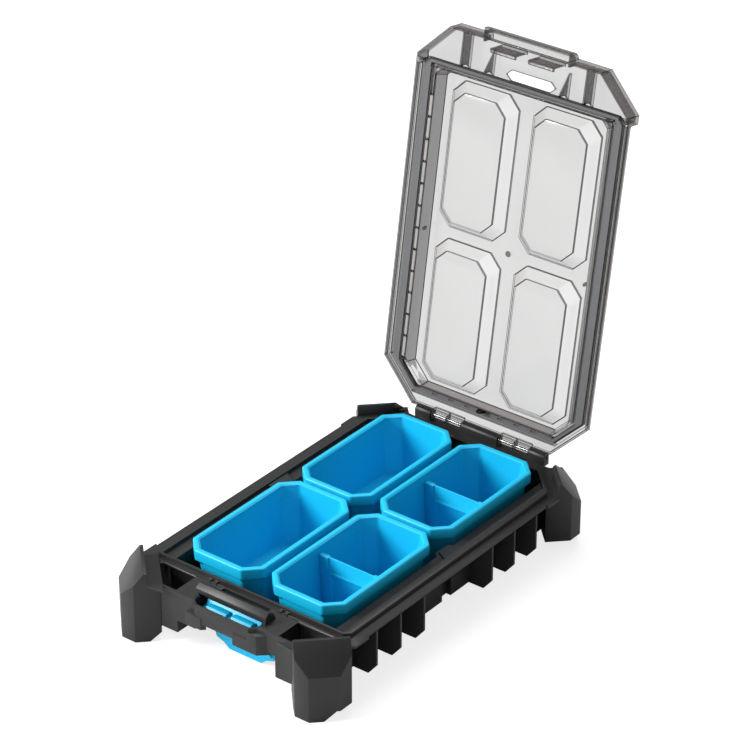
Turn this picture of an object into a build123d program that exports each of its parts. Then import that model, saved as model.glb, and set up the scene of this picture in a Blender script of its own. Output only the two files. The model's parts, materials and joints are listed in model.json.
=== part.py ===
from build123d import *
import os
from math import cos, radians, sqrt

# Compartment organizer. Millimetres, +Z up, X to the right, Y to the back (the hinge side).
# The origin is on the ground, at the middle of the four feet.
# Places are worked out from the bins outwards, so a piece follows what it fits on.

# Shared working values
vast = 600.0
eps = 0.01
weld = 1.0
fit = 0.3

# Bins
bin_open_x = 83.3
bin_open_y = 160.7
bin_open_cut = 13.5
bin_rim_width = 6.4
bin_rim_depth = 12.0
bin_rim_chamfer = 1.0
bin_rim_roof = 2.4
bin_wall = 2.0
bin_draft = 4.0
bin_floor = 2.0
bin_corner_radius = 5.0
bin_wall_cut = 1.2
bin_under_cut = 0.8
bin_mouth_slope = 1.2
bin_mouth_cut = 0.7
bin_gap_x = 9.3
bin_gap_y = 6.1

# Where the bins stand
grid_y = 18.0
bin_outer_x = bin_open_x + 2 * bin_rim_width
bin_outer_y = bin_open_y + 2 * bin_rim_width
bin_pitch_x = bin_outer_x + bin_gap_x
bin_pitch_y = bin_outer_y + bin_gap_y
bins_half_x = (bin_pitch_x + bin_outer_x) / 2
bins_front_y = grid_y - (bin_pitch_y + bin_outer_y) / 2
bins_back_y = grid_y + (bin_pitch_y + bin_outer_y) / 2

# Case walls
wall = 3.0
floor_thick = 3.0
tray_side_gap = 4.25
tray_front_gap = 10.15
tray_back_gap = 5.65
tray_front_cut = 2.0
lip_reach = 19.0
lip_width_side = 8.5
lip_width_end = 3.0
lip_front_cut = 6.0
lip_back_cut = 32.5
lip_inner_cut = 1.0
tray_half_x = bins_half_x + tray_side_gap + wall
lip_half_x = tray_half_x + lip_reach
lip_front_y = bins_front_y - tray_front_gap - lip_width_end
lip_back_y = bins_back_y + tray_back_gap + lip_width_end

# Flange around the case
flange_thick = 2.8
flange_side_reach = 10.5
flange_front_reach = 3.7
flange_back_reach = 3.8
flange_front_cut = 6.0
flange_corner_reach = 10.0
bead_radius = 1.8
bead_set_back = 0.6
bead_drop = 1.2
flange_half_x = lip_half_x + flange_side_reach
flange_front_y = lip_front_y - flange_front_reach
flange_back_y = lip_back_y + flange_back_reach

# Heights of the case
body_z = 11.5
flange_z = 69.5
lip_height = 5.0
rim_above_lip = 11.0
shelf_drop = 1.0
lip_z = flange_z + lip_height
rim_z = lip_z + rim_above_lip
shelf_z = flange_z - shelf_drop
bin_foot_z = body_z + floor_thick

# Column between the bins at each side, reached from below by a groove
pilaster_foot_half = 17.0
pilaster_wall_half = 14.0
pilaster_nose_half = 8.0
pilaster_depth = 6.0
pilaster_step = 4.0
pilaster_top_gap = 2.2
pilaster_groove_half = 7.5
pilaster_roof = 8.0

# Ribs under the flange
rib_ys = (58.7, 97.9, 137.3)
rib_thick = 3.0
rib_foot_z = 24.5
rib_cut_x = 10.8
rib_edge_gap = 0.3

# Corner posts
post_side_reach = 8.5
post_end_reach = 26.8
post_face_cut = 22.6
post_side_length = 18.1
post_depth_sum = 80.0
post_wall = 3.5
panel_below_flange = 16.3
fin_height = 12.8
panel_slope = 1.234
panel_reach = 60.0
toe_depth = 11.5
toe_length = 11.0
toe_rise = 9.0
deck_side_inset = 6.0
deck_end_inset = 10.0
deck_overlap = 2.0
back_fin_inset = 38.0
post_half_x = flange_half_x + post_side_reach
post_half_y = lip_back_y + post_end_reach
deck_inner_sum = post_half_x + post_half_y - post_depth_sum
deck_side_x = post_half_x - deck_side_inset
deck_end_y = post_half_y - deck_end_inset
back_fin_x = post_half_x - back_fin_inset
panel_foot_z = flange_z - panel_below_flange
fin_top_z = flange_z + fin_height

# Front housing
housing_depth = 38.3
tower_half_x = 67.5
front_wall_foot_z = 19.0
tower_foot_left_z = 33.5
tower_foot_right_z = 45.0
bulge_depth = 6.0
bulge_half_x = 35.0
bulge_side_x = 42.0
bulge_foot_z = 47.5
bulge_overlap = 2.0
front_y = lip_front_y - housing_depth
bulge_y = front_y - bulge_depth

# Slot and catch bar
slot_depth = 14.0
slot_edge_x = 1.0
slot_edge_y = 1.5
slot_front_edge = 2.4
bar_half_x = 46.0
bar_leg = 4.6
bar_leg_drop = 1.5
bar_saddle_back = 2.0
bar_profile_y = (8.6, 14.2, 22.0)
bar_profile_z = (3.0, 8.2, 12.6, 7.5)
recess_half_x = 31.0
recess_depth = 2.0
recess_edge = 0.6
bump_xs = (40.4, 48.3)
bump_x = 4.2
bump_y = 4.0
bump_top_gap = 3.3
slot_back_y = front_y + slot_depth
bar_front_y, bar_ridge_y, bar_back_y = (front_y + step for step in bar_profile_y)
bar_under_z, bar_front_z, bar_ridge_z, bar_back_z = (shelf_z + step for step in bar_profile_z)

# Blocks on the front face
lug_stand = 7.2
lug_top_z = 55.5
lug_foot_z = 41.0
lug_step_z = 63.8
left_lug_x = (-47.3, -27.3)
right_lug_x = (14.8, 46.2)
lug_step_x = 34.4
lug_cut_x = 10.0
lug_cut_y = 2.0

# Hinge
hinge_behind_lip = 21.4
hinge_above_flange = 7.2
pin_radius = 1.6
pin_clearance = 0.05
pin_inner_length = 16.0
pin_end_inset = 1.5
knuckle_radius = 5.2
knuckle_centre_x = 24.7
knuckle_end_x = (66.2, 87.2)
barrel_radius = 4.6
barrel_gap = 0.5
barrel_split_x = 45.4
barrel_web_lift = 0.4
back_plate_overlap = 4.0
back_wall_foot_z = 45.0
open_angle = 99.25
hinge_y = lip_back_y + hinge_behind_lip
hinge_z = flange_z + hinge_above_flange

# Lid, described closed and then turned open about the hinge
sheet = 2.4
lid_side_inset = 1.3
lid_front_reach = 4.5
lid_back_inset = 5.6
lid_front_cut = 39.5
lid_back_cut = 44.3
lid_strip_gap = 3.8
lid_border_gap = 1.3
lid_border_width = 2.4
lid_border_up = 2.5
channel_height = 5.4
channel_gap = 1.6
panel_gap = 3.8
dome_side_gap = 5.25
dome_front_gap = 2.45
dome_back_gap = 0.45
dome_front_cut = 6.0
dome_back_cut = 20.0
dome_draft = 4.5
lid_half_x = flange_half_x - lid_side_inset
lid_front_y = front_y - lid_front_reach
lid_back_y = hinge_y - lid_back_inset
lid_strip_z = flange_z + lid_strip_gap
lid_border_foot_z = flange_z + lid_border_gap
channel_roof_z = lip_z + channel_height
panel_z = rim_z + panel_gap
dome_half_x = bins_half_x + dome_side_gap
dome_front_y = bins_front_y - dome_front_gap
dome_back_y = bins_back_y + dome_back_gap

# Panel block over each bin
boss_reach_x = 3.1
boss_reach_y = 4.9
boss_cut = 14.6
boss_foot_cut = 13.1
boss_depth = 12.6
boss_draft = 9.5
boss_hollow_inset = 4.0
boss_x = bin_open_x + boss_reach_x
boss_y = bin_open_y + boss_reach_y

# Sealing strip
gasket_gap = 0.3
gasket_side_gap = 0.4
gasket_bead_height = 1.6
gasket_bead_inset = 1.2
gasket_overlap = 0.1

# Lid front hood, clip, hooks and stiffeners
hood_behind_lip = 6.7
hood_wall_lean = 7.0
clip_half_x = 55.5
clip_reach = 8.9
clip_round = 13.0
clip_above_shelf = 5.5
clip_overlap = 4.0
valley_steps = (4.7, 7.7)
valley_inset = 4.0
stiffener_x = 79.0
stiffener_lean = 6.0
stiffener_lift = 1.0
gusset_x = 47.0
gusset_step = 13.0
gusset_edge = 2.0
slot_tip_x = 31.0
slot_side_x = 25.0
slot_steps = (-9.3, -3.8, 1.7)
slot_room = 6.0
hook_set_back = 1.8
hook_thick = 2.4
hook_barb = 3.0
hook_drop = 4.9
hook_rise = (2.0, 3.2, 3.8)
hook_xs = (8.0, 40.6)
tick_pitch = 25.4
tick_count = 13
tick_x = (0.6, 4.4)
tick_half_width = 0.4
tick_depth = 0.3
hood_back_y = lip_front_y + hood_behind_lip
clip_y = lid_front_y - clip_reach
clip_foot_z = shelf_z + clip_above_shelf
gusset_y = front_y + gusset_step
hook_y = bar_front_y - hook_set_back
hook_foot_z = bar_under_z - hook_drop

# Divider in each right-hand bin
divider_thick = 1.8
divider_drop = 10.0
divider_end_thick = 5.2
divider_end_x = 12.0
divider_end_z = 12.0
divider_foot_x = 15.0
ledge_drop = 16.0
ledge_overlap = 1.0
ledge_front = 4.0
ledge_thick = 2.0

# Rocking lever under the front
lever_set_back = 17.0
lever_pivot_z = 40.0
lever_pin_radius = 2.0
lever_sleeve_wall = 2.6
lever_pin_end = 1.0
lever_half_x = 39.5
lever_web_inset = 4.0
lever_tongue_half_x = 20.9
lever_thick = 3.2
lever_pad_xs = (3.1, 29.4)
lever_pad_drop = 5.5
lever_pad_gap = 3.2
lever_pad_steps = (6.0, 11.0, 12.5, 14.0)
lever_pad_fall = (3.0, 5.0, 6.0, 10.0, 12.0)
lever_neck = (-3.0, -2.0, -1.0, 2.0, 3.0)
lever_neck_rise = (-3.0, 4.0)
lever_foot_z = 1.2
lever_tongue_z = (7.0, 10.5, 12.0, 18.0, 20.0)
lever_tongue_cut = (1.5, 11.0)
lever_tongue_y = 12.6
cheek_x = 41.5
cheek_thick = 3.5
cheek_steps = (-9.0, -6.0, 4.0)
cheek_fall = (12.0, 7.0)
cheek_rise = 8.0
lever_pivot_y = front_y + lever_set_back
lever_pad_top_z = shelf_z - lever_pad_drop


def polygon(points):
    """Face with straight sides through the points, in the XY plane."""
    return make_face(Polyline(*points, close=True))


def slab(face, low, high):
    """Upright prism of a face between two heights."""
    return Pos(0, 0, low) * extrude(face, amount=high - low)


def box(x0, x1, y0, y1, z0, z1):
    """Box between two corners."""
    size = (x1 - x0, y1 - y0, z1 - z0)
    middle = ((x0 + x1) / 2, (y0 + y1) / 2, (z0 + z1) / 2)
    return Pos(*middle) * Box(*size)


def outline(half_x, front, back, front_cut, back_cut):
    """Case outline: a rectangle with cut corners, its front and back cuts set apart."""
    points = [
        (-half_x + front_cut, front),
        (half_x - front_cut, front),
        (half_x, front + front_cut),
        (half_x, back - back_cut),
        (half_x - back_cut, back),
        (-half_x + back_cut, back),
        (-half_x, back - back_cut),
        (-half_x, front + front_cut),
    ]
    return polygon(points)


def octagon(size_x, size_y, cut):
    """Rectangle with equal cut corners about the origin."""
    return outline(size_x / 2, -size_y / 2, size_y / 2, cut, cut)


def side_profile(points, x0, x1):
    """Prism along X of a profile given as (y, z) points."""
    face = make_face(Polyline(*[(0, y, z) for y, z in points], close=True))
    return Pos(x0, 0, 0) * extrude(face, amount=x1 - x0, dir=(1, 0, 0))


def rod(radius, x0, x1, y, z):
    """Round bar along X."""
    return Pos((x0 + x1) / 2, y, z) * Rot(0, 90, 0) * Cylinder(radius, x1 - x0)


def both_sides(shape):
    """A shape and its mirror image across the middle plane."""
    return shape + mirror(shape, about=Plane.YZ)


def write(shape, name):
    """Write one node as a STEP file."""
    shape.label = name
    export_step(shape, f"parts/{name}.step")


def lip_faces():
    """Outer and inner outline of the sealing lip."""
    outer = outline(lip_half_x, lip_front_y, lip_back_y, lip_front_cut, lip_back_cut)
    inner_half = lip_half_x - lip_width_side
    # The cut corners keep the end width, measured square to the cut.
    inner_back_cut = lip_back_cut - lip_width_side - lip_width_end + lip_width_end * sqrt(2)
    inner_front = lip_front_y + lip_width_end
    inner = outline(inner_half, inner_front, lip_back_y - lip_width_end, lip_inner_cut, inner_back_cut)
    return outer, inner


def tray_faces():
    """Outer and inner outline of the tray's wall."""
    lip_sum = lip_half_x + lip_back_y - lip_back_cut
    outer_cut = tray_half_x + lip_back_y - lip_sum
    outer = outline(tray_half_x, lip_front_y, lip_back_y, tray_front_cut, outer_cut)
    inner_half = tray_half_x - wall
    inner_back = lip_back_y - lip_width_end
    inner_cut = inner_half + inner_back - lip_sum + wall * sqrt(2)
    inner = outline(inner_half, lip_front_y + lip_width_end, inner_back, lip_inner_cut, inner_cut)
    return outer, inner


def pilaster():
    """Hollow column between the bins at one side, inside the tray wall."""
    inner_x = tray_half_x - wall
    nose_x = inner_x - pilaster_depth
    cap_x = lip_half_x - lip_width_side + weld
    column_points = [
        (tray_half_x, grid_y - pilaster_foot_half),
        (tray_half_x, grid_y + pilaster_foot_half),
        (inner_x, grid_y + pilaster_wall_half),
        (nose_x, grid_y + pilaster_nose_half),
        (nose_x, grid_y - pilaster_nose_half),
        (inner_x, grid_y - pilaster_wall_half),
    ]
    cap_points = [
        (cap_x, grid_y - pilaster_foot_half),
        (cap_x, grid_y + pilaster_foot_half),
        (nose_x + pilaster_step, grid_y + pilaster_nose_half),
        (nose_x + pilaster_step, grid_y - pilaster_nose_half),
    ]
    column = slab(polygon(column_points), body_z, flange_z)
    head = slab(polygon(cap_points), flange_z - flange_thick, lip_z - pilaster_top_gap)
    half = pilaster_groove_half
    roof_z = flange_z - pilaster_roof
    groove = box(nose_x + wall, tray_half_x + weld, grid_y - half, grid_y + half, 0, roof_z)
    return column + head, groove


def rib(y):
    """One upright plate under the side flange, its outer foot cut off."""
    points = [
        (tray_half_x - wall / 2, body_z),
        (flange_half_x - rib_cut_x, body_z),
        (flange_half_x - rib_edge_gap, rib_foot_z),
        (flange_half_x - rib_edge_gap, flange_z - flange_thick / 2),
        (tray_half_x - wall / 2, flange_z - flange_thick / 2),
    ]
    face = make_face(Polyline(*[(x, 0, z) for x, z in points], close=True))
    return Pos(0, y + rib_thick / 2, 0) * extrude(face, amount=rib_thick, dir=(0, -1, 0))


def post_plan(inset):
    """Plan of one corner post in the (+X, +Y) corner, moved in by a wall."""
    trim = inset * (sqrt(2) - 1)
    half_x = post_half_x - inset
    half_y = post_half_y - inset
    cut = post_face_cut - inset * (2 - sqrt(2))
    side = post_side_length - 2 * trim
    back_sum = deck_inner_sum + inset * sqrt(2)
    reach = (half_x + half_y - cut - side - back_sum) / 2
    return [
        (half_x - cut, half_y),
        (half_x, half_y - cut),
        (half_x, half_y - cut - side),
        (half_x - reach, half_y - cut - side - reach),
        (half_x - cut - side - reach, half_y - reach),
        (half_x - cut - side, half_y),
    ]


def beyond(total):
    """Plan region of the (+X, +Y) corner where x + y is more than a total."""
    return polygon([(total + vast, -vast), (total + vast, total + 2 * vast), (-vast, total + vast)])


def panel_cutter(offset):
    """Everything outside the sloping panel, moved in by an offset square to it."""
    mid_x = post_half_x - post_face_cut / 2
    mid_y = post_half_y - post_face_cut / 2
    far = panel_reach
    run = (fin_top_z + far - panel_foot_z) / panel_slope
    back = offset * sqrt(1 + panel_slope**2) / panel_slope
    profile = [
        (far, panel_foot_z - offset),
        (-back, panel_foot_z - offset),
        (-back - run, fin_top_z + far - offset),
        (far, fin_top_z + far - offset),
    ]
    face = make_face(Polyline(*[(u, 0, z) for u, z in profile], close=True))
    block = Pos(0, far, 0) * extrude(face, amount=2 * far, dir=(0, -1, 0))
    return Pos(mid_x, mid_y, 0) * Rot(0, 0, 45) * block


def fin_inner_sum():
    """|x| + |y| of the fin's inner face."""
    face_sum = post_half_x + post_half_y - post_face_cut
    return face_sum - sqrt(2) * ((fin_top_z - panel_foot_z) / panel_slope + post_wall)


def corner_post():
    """Hollow corner post with its leaning fin, in the (+X, +Y) corner."""
    low_roof = flange_z - flange_thick
    shell = slab(polygon(post_plan(0)), 0, fin_top_z) - panel_cutter(0)
    shell -= slab(beyond(0) - beyond(fin_inner_sum()), flange_z, fin_top_z + weld)
    core_face = polygon(post_plan(post_wall))
    upper_face = core_face & beyond(fin_inner_sum() + post_wall * sqrt(2))
    core = slab(core_face, -weld, low_roof) + slab(upper_face, low_roof - weld, fin_top_z)
    shell -= core - panel_cutter(post_wall)
    # The feet are deep only near the ends, where the case stands.
    flat_y = post_half_y - toe_length
    points = [
        (0, -weld),
        (flat_y, -weld),
        (flat_y, 0),
        (flat_y - toe_rise, toe_depth),
        (0, toe_depth),
    ]
    return shell - side_profile(points, 0, vast)


def posts():
    """The four corner posts. The back fins stop short beside the hinge."""
    front = mirror(corner_post(), about=Plane.XZ)
    back = corner_post() - box(0, back_fin_x, 0, vast, flange_z, vast)
    return both_sides(front + back)


def post_braces():
    """Plate from the tray's corner to each post."""
    corner_x = tray_half_x - weld
    corner_y = lip_front_y + weld
    far = (deck_inner_sum - corner_x + corner_y) / sqrt(2) + post_wall / 2
    near = min(-wall, far - wall)
    top = flange_z - flange_thick / 2
    plate = box(near, far, -rib_thick / 2, rib_thick / 2, body_z, top)
    return both_sides(Pos(corner_x, corner_y, 0) * Rot(0, 0, -45) * plate)


def deck():
    """Flange plate, carried out to the fins at the four corners."""
    back_cut = flange_corner_cut()
    plate = outline(flange_half_x, flange_front_y, flange_back_y, flange_front_cut, back_cut)
    near = deck_inner_sum - deck_overlap
    far = fin_inner_sum() + weld
    side = deck_side_x
    end = deck_end_y
    corner = [(side, near - side), (side, far - side), (far - end, end), (near - end, end - deck_overlap)]
    piece = polygon(corner)
    piece = piece + mirror(piece, about=Plane.YZ)
    piece = piece + mirror(piece, about=Plane.XZ)
    low = flange_z - flange_thick
    return slab(plate, low, flange_z) + slab(piece, low, flange_z)


def flange_corner_cut():
    """Back corner cut of the flange, parallel to the lip's."""
    lip_sum = lip_half_x + lip_back_y - lip_back_cut
    return flange_half_x + flange_back_y - lip_sum - flange_corner_reach * sqrt(2)


def front_walls():
    """Walls of the front housing, between the front posts."""
    inner_x = tower_half_x - wall
    outer_x = deck_inner_sum + front_y + wall
    back = front_y + wall
    joint_x = bulge_side_x - bulge_overlap
    foot = front_wall_foot_z
    side = box(inner_x, tower_half_x, front_y, lip_front_y + weld, foot, shelf_z)
    face = box(inner_x, outer_x, front_y, back, foot, shelf_z)
    left = box(-tower_half_x, -joint_x, front_y, back, tower_foot_left_z, shelf_z)
    right = box(joint_x, tower_half_x, front_y, back, tower_foot_right_z, shelf_z)
    bulge = slab(bulge_face(0), bulge_foot_z, shelf_z) + lugs()
    return both_sides(side + face) + left + right + bulge - slab(bulge_face(wall), 0, shelf_z - wall)


def bulge_face(inset):
    """Plan of the front face's middle, standing forward with cut sides."""
    back = front_y + wall + 2 * inset
    face = polygon([
        (-bulge_side_x, back),
        (-bulge_side_x, front_y),
        (-bulge_half_x, bulge_y),
        (bulge_half_x, bulge_y),
        (bulge_side_x, front_y),
        (bulge_side_x, back),
    ])
    return offset(face, amount=-inset, kind=Kind.INTERSECTION) if inset else face


def lug(x0, x1, top):
    """One block on the front face, its right end cut back."""
    points = [
        (x0, front_y + wall),
        (x0, front_y - lug_stand),
        (x1, front_y - lug_stand),
        (x1 + lug_cut_x, front_y + lug_cut_y),
        (x1 + lug_cut_x, front_y + wall),
    ]
    return slab(polygon(points), lug_foot_z, top)


def lugs():
    """Both blocks on the front face. The right one has a raised step."""
    left = lug(*left_lug_x, lug_top_z)
    right = lug(*right_lug_x, lug_top_z)
    step = lug(lug_step_x, right_lug_x[1], lug_step_z)
    return left + right + step


def housing_top():
    """Shelf over the front housing with its catch bar and bumps."""
    back = lip_front_y + weld
    shelf_points = [
        (-tower_half_x, front_y),
        (-bulge_side_x, front_y),
        (-bulge_half_x, bulge_y),
        (bulge_half_x, bulge_y),
        (bulge_side_x, front_y),
        (tower_half_x, front_y),
        (tower_half_x, back),
        (-tower_half_x, back),
    ]
    shelf = slab(polygon(shelf_points), shelf_z - wall, shelf_z)
    bar_points = [
        (bar_front_y, bar_under_z),
        (bar_front_y, bar_front_z),
        (bar_ridge_y, bar_ridge_z),
        (bar_back_y, bar_back_z),
        (bar_back_y, bar_under_z),
    ]
    bar = side_profile(bar_points, -bar_half_x, bar_half_x)
    low = shelf_z - wall
    leg_x = bar_half_x - bar_leg
    leg_top = bar_front_z - bar_leg_drop
    leg = box(leg_x, bar_half_x, bar_front_y, bar_back_y, low, leg_top)
    seat_y = bar_back_y + bar_saddle_back
    saddle = box(-bar_half_x, bar_half_x, slot_back_y, seat_y, low, bar_under_z + weld)
    bump = Pos(0, lip_front_y - bump_y, 0) * box(0, bump_x, 0, bump_y, shelf_z - weld, lip_z - bump_top_gap)
    bumps = both_sides(Pos(bump_xs[0], 0, 0) * bump + Pos(bump_xs[1], 0, 0) * bump)
    recess_end = lip_front_y - recess_edge
    half = recess_half_x
    recess = box(-half, half, seat_y, recess_end, shelf_z - recess_depth, shelf_z + weld)
    return shelf + bar + both_sides(leg) + saddle + bumps - recess


def catch_slot():
    """Slot through the shelf for the lid's hooks."""
    edge_x = bulge_side_x - slot_edge_x
    front_x = bulge_half_x - slot_edge_x
    points = [
        (-edge_x, slot_back_y),
        (-edge_x, front_y + slot_edge_y),
        (-front_x, bulge_y + slot_front_edge),
        (front_x, bulge_y + slot_front_edge),
        (edge_x, front_y + slot_edge_y),
        (edge_x, slot_back_y),
    ]
    return slab(polygon(points), shelf_z - wall - weld, shelf_z + weld)


def front_bead():
    """Rounded bead along the flange's front edge, beside the housing."""
    x0 = tower_half_x - weld
    x1 = lip_half_x - lip_front_cut
    return both_sides(rod(bead_radius, x0, x1, flange_front_y + bead_set_back, shelf_z - bead_drop))


def cheeks():
    """Two plates that carry the lever's pin."""
    front, nose, back = (lever_pivot_y + step for step in cheek_steps)
    deep, shallow = (lever_pivot_z - fall for fall in cheek_fall)
    root_y = lip_front_y + weld
    root_z = shelf_z - wall / 2
    profile = [
        (root_y, root_z),
        (root_y, deep),
        (back, shallow),
        (nose, shallow),
        (front, lever_pivot_z + cheek_rise),
        (front, root_z),
    ]
    outer_x = cheek_x + cheek_thick
    plate = side_profile(profile, cheek_x, outer_x)
    bore_radius = lever_pin_radius + pin_clearance
    bore = rod(bore_radius, cheek_x - weld, outer_x + weld, lever_pivot_y, lever_pivot_z)
    return both_sides(plate - bore)


def knuckle(x0, x1):
    """One hinge knuckle on the case, carried on a bent web behind the lid's edge."""
    foot = flange_z - flange_thick
    web = [
        (lip_back_y - weld, foot),
        (hinge_y + knuckle_radius, foot),
        (hinge_y + knuckle_radius, hinge_z),
        (hinge_y - knuckle_radius, hinge_z),
        (hinge_y - knuckle_radius, flange_z),
        (lip_back_y - weld, flange_z),
    ]
    shape = side_profile(web, x0, x1) + rod(knuckle_radius, x0, x1, hinge_y, hinge_z)
    return shape - rod(pin_radius, x0 - weld, x1 + weld, hinge_y, hinge_z)


def knuckles():
    """The three knuckles on the case and the back plate under them."""
    middle = knuckle(-knuckle_centre_x, knuckle_centre_x)
    ends = both_sides(knuckle(*knuckle_end_x))
    reach = deck_inner_sum - hinge_y + back_plate_overlap
    back = hinge_y + knuckle_radius
    plate = box(-reach, reach, flange_back_y - weld, back, flange_z - flange_thick, flange_z)
    apron = box(-reach, reach, back - wall, back, back_wall_foot_z, flange_z)
    return middle + ends + plate + apron


def make_base_tray():
    """The black case, one moulding."""
    tray_outer, tray_inner = tray_faces()
    lip_outer, lip_inner = lip_faces()
    column, groove = pilaster()
    body = slab(tray_outer, body_z, flange_z)
    body += deck()
    body += slab(lip_outer, flange_z - eps, lip_z)
    body -= slab(lip_inner, flange_z, lip_z + weld)
    for y in rib_ys:
        body += both_sides(rib(y) + rib(-y))
    body += posts() + post_braces()
    body -= slab(tray_inner, bin_foot_z, lip_z + weld)
    body += both_sides(column)
    body -= both_sides(groove)
    body += front_walls() + housing_top() + front_bead() + cheeks() + knuckles()
    return body - catch_slot()


def make_bin():
    """One lift-out bin about its own middle, standing on the case floor."""
    outer_cut = bin_open_cut + bin_rim_width * (2 - sqrt(2))
    rim_face = fillet(octagon(bin_outer_x, bin_outer_y, outer_cut).vertices(), bin_corner_radius)
    rim_foot_z = rim_z - bin_rim_depth
    rim = slab(rim_face, rim_foot_z, rim_z)
    rim = chamfer(rim.edges().group_by(Axis.Z)[-1], bin_rim_chamfer)
    under_x = bin_outer_x - 2 * bin_wall
    under_y = bin_outer_y - 2 * bin_wall
    under_face = octagon(under_x, under_y, outer_cut - bin_under_cut)
    under_face = fillet(under_face.vertices(), bin_corner_radius - bin_wall)
    under = slab(under_face, rim_foot_z - weld, rim_z - bin_rim_roof)
    shell_x = bin_open_x + 2 * bin_wall
    shell_y = bin_open_y + 2 * bin_wall
    shell = drafted(shell_x, shell_y, bin_open_cut + bin_wall_cut, bin_foot_z, rim_z - bin_rim_chamfer)
    hollow = drafted(bin_open_x, bin_open_y, bin_open_cut, bin_foot_z + bin_floor, rim_z + eps)
    return rim - under + shell - hollow - chamfered_mouth()


def drafted(size_x, size_y, cut, low, high):
    """Tapered octagonal block whose top has the size given."""
    shrink = 2 * bin_draft * (high - low) / (rim_z - body_z)
    radius = bin_corner_radius
    top = fillet(octagon(size_x, size_y, cut).vertices(), radius)
    foot = fillet(octagon(size_x - shrink, size_y - shrink, cut).vertices(), radius)
    return loft([Pos(0, 0, low) * foot, Pos(0, 0, high) * top])


def chamfered_mouth():
    """Slope that breaks the inner edge of a bin's rim."""
    grow = 2 * bin_mouth_slope
    small = octagon(bin_open_x, bin_open_y, bin_open_cut)
    large = octagon(bin_open_x + grow, bin_open_y + grow, bin_open_cut + bin_mouth_cut)
    return loft([Pos(0, 0, rim_z - bin_mouth_slope) * small, Pos(0, 0, rim_z + eps) * large])


def divider_half(z):
    """Half width of the divider at a height, inside a bin's leaning walls."""
    lean = bin_draft / (rim_z - body_z)
    return bin_open_x / 2 - (rim_z - z) * lean - fit


def plate_across(points, y, thick):
    """Upright plate of an (x, z) profile, centred on a place along Y."""
    face = make_face(Polyline(*[(x, 0, z) for x, z in points], close=True))
    return Pos(0, y + thick / 2, 0) * extrude(face, amount=thick, dir=(0, -1, 0))


def make_divider():
    """Cross wall that drops into a bin, about the bin's middle."""
    foot_z = bin_foot_z + bin_floor
    top_z = rim_z - divider_drop
    foot_x = divider_half(foot_z)
    top_x = divider_half(top_z)
    wall_points = [(-foot_x, foot_z), (foot_x, foot_z), (top_x, top_z), (-top_x, top_z)]
    end_points = [
        (foot_x, foot_z),
        (top_x, top_z),
        (top_x - divider_end_x, top_z),
        (top_x - divider_end_x, top_z - divider_end_z),
        (top_x - divider_foot_x, top_z - ledge_drop),
        (foot_x - divider_foot_x, foot_z),
    ]
    plate = plate_across(wall_points, 0, divider_thick)
    end = both_sides(plate_across(end_points, 0, divider_end_thick))
    ledge_z = top_z - ledge_drop
    ledge_x = divider_half(ledge_z) - divider_foot_x + ledge_overlap
    ledge = box(-ledge_x, ledge_x, -ledge_front, divider_thick / 2, ledge_z - ledge_thick, ledge_z)
    return plate + end + ledge


def lid_outline(inset):
    """Outline of the closed lid, moved in by a distance."""
    trim = inset * (2 - sqrt(2))
    front_cut = lid_front_cut - trim
    back_cut = lid_back_cut - trim
    return outline(lid_half_x - inset, lid_front_y + inset, lid_back_y - inset, front_cut, back_cut)


def channel_outline(gap):
    """Outline of the sealing lip moved out by a gap, or its inner line moved in."""
    outer, inner = lip_faces()
    if gap > 0:
        return offset(outer, amount=gap, kind=Kind.INTERSECTION)
    return offset(inner, amount=gap, kind=Kind.INTERSECTION)


def dome_face(grow):
    """Outline of the raised middle of the lid, moved out by a distance."""
    front_cut = dome_front_cut + grow * (2 - sqrt(2))
    back_cut = dome_back_cut + grow * (2 - sqrt(2))
    return outline(dome_half_x + grow, dome_front_y - grow, dome_back_y + grow, front_cut, back_cut)


def dome(grow, low, high, top):
    """Drafted block between the strip and the panel."""
    lean = dome_draft * (top - low) / (panel_z - lid_strip_z)
    peak = dome_draft * (top - high) / (panel_z - lid_strip_z)
    return loft([Pos(0, 0, low) * dome_face(grow + lean), Pos(0, 0, high) * dome_face(grow + peak)])


def lid_shell():
    """The lid's sheet: strip, gasket channel and raised middle."""
    strip_top = lid_strip_z + sheet
    roof_top = channel_roof_z + sheet
    shell = slab(lid_outline(0), lid_strip_z, strip_top)
    border = slab(lid_outline(0), lid_border_foot_z, strip_top + lid_border_up)
    border -= slab(lid_outline(lid_border_width), 0, vast)
    ridge = slab(channel_outline(channel_gap + sheet), lid_strip_z, roof_top)
    ridge -= slab(channel_outline(-channel_gap - sheet), 0, vast)
    groove = slab(channel_outline(channel_gap), lid_strip_z - weld, channel_roof_z)
    groove -= slab(channel_outline(-channel_gap), 0, vast)
    raised = dome(sheet, lid_strip_z, panel_z + sheet, panel_z)
    hollow = dome(0, lid_strip_z - weld, panel_z, panel_z)
    return shell + border + ridge + raised - groove - hollow


def boss(inset, low, high):
    """Tapered panel block of one bin, standing down from the lid."""
    fall = (panel_z - high) * boss_draft / boss_depth
    foot = (panel_z - low) * boss_draft / boss_depth
    top_face = octagon(boss_x - 2 * fall - inset, boss_y - 2 * fall - inset, boss_cut)
    foot_face = octagon(boss_x - 2 * foot - inset, boss_y - 2 * foot - inset, boss_foot_cut)
    return loft([Pos(0, 0, low) * foot_face, Pos(0, 0, high) * top_face])


def bin_places():
    """Middle of each bin, in plan."""
    return [
        ("front_left", -bin_pitch_x / 2, grid_y - bin_pitch_y / 2),
        ("front_right", bin_pitch_x / 2, grid_y - bin_pitch_y / 2),
        ("back_left", -bin_pitch_x / 2, grid_y + bin_pitch_y / 2),
        ("back_right", bin_pitch_x / 2, grid_y + bin_pitch_y / 2),
    ]


def before(y):
    """Plan region in front of a place along Y."""
    return polygon([(-vast, -vast), (vast, -vast), (vast, y), (-vast, y)])


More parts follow.
